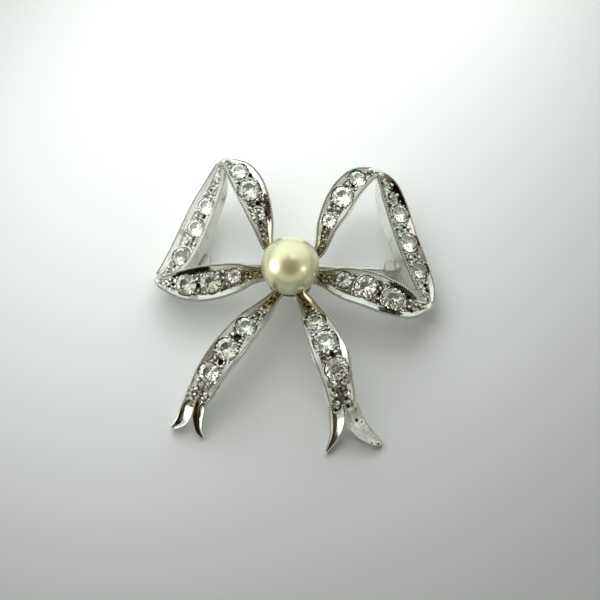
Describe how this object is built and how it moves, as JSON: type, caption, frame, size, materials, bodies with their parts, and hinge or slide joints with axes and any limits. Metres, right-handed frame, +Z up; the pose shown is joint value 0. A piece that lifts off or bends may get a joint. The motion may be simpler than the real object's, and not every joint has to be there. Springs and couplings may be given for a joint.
{
  "type": "ribbon bow brooch with a pearl and clear stones",
  "caption": "Ribbon-bow brooch in white metal: channel ribbons set with clear round stones, a pearl on the knot, and a hinged pin behind.",
  "frame": {"origin": "on the surface that the brooch lies on, under the middle of its outline", "axes": "+Z up out of the brooch's face, +Y from the tails towards the upper loops, +X to the right as seen from the front"},
  "size_m": [0.037, 0.0379, 0.0126],
  "materials": {
    "white_metal": "polished, with darker recesses",
    "pin_wire": "drawn wire",
    "nacre": "nacre",
    "clear_stone": "cut and polished"
  },
  "bodies": {
    "brooch": {"ribbon_frame": "white_metal", "pearl": "nacre", "hinge": "white_metal", "hinge_rivet": "white_metal", "catch": "white_metal", "stone_left_upper_1": "clear_stone", "stone_left_upper_2": "clear_stone", "stone_left_upper_3": "clear_stone", "stone_left_outer_1": "clear_stone", "stone_left_outer_2": "clear_stone", "stone_left_outer_3": "clear_stone", "stone_left_lower_1": "clear_stone", "stone_left_lower_2": "clear_stone", "stone_left_lower_3": "clear_stone", "stone_left_tail_1": "clear_stone", "stone_left_tail_2": "clear_stone", "stone_left_tail_3": "clear_stone", "stone_right_upper_1": "clear_stone", "stone_right_upper_2": "clear_stone", "stone_right_upper_3": "clear_stone", "stone_right_outer_1": "clear_stone", "stone_right_outer_2": "clear_stone", "stone_right_outer_3": "clear_stone", "stone_right_lower_1": "clear_stone", "stone_right_lower_2": "clear_stone", "stone_right_lower_3": "clear_stone", "stone_right_tail_1": "clear_stone", "stone_right_tail_2": "clear_stone", "stone_right_tail_3": "clear_stone"},
    "pin": {"pin_stem": "pin_wire"}
  },
  "joints": [
    {"name": "pin_swing", "type": "hinge", "parent": "brooch", "child": "pin", "pos_m": [-0.01262, 0.00568, 0.0011], "axis": [-0.0436, 0.999, 0], "range_deg": [0, 110]}
  ]
}
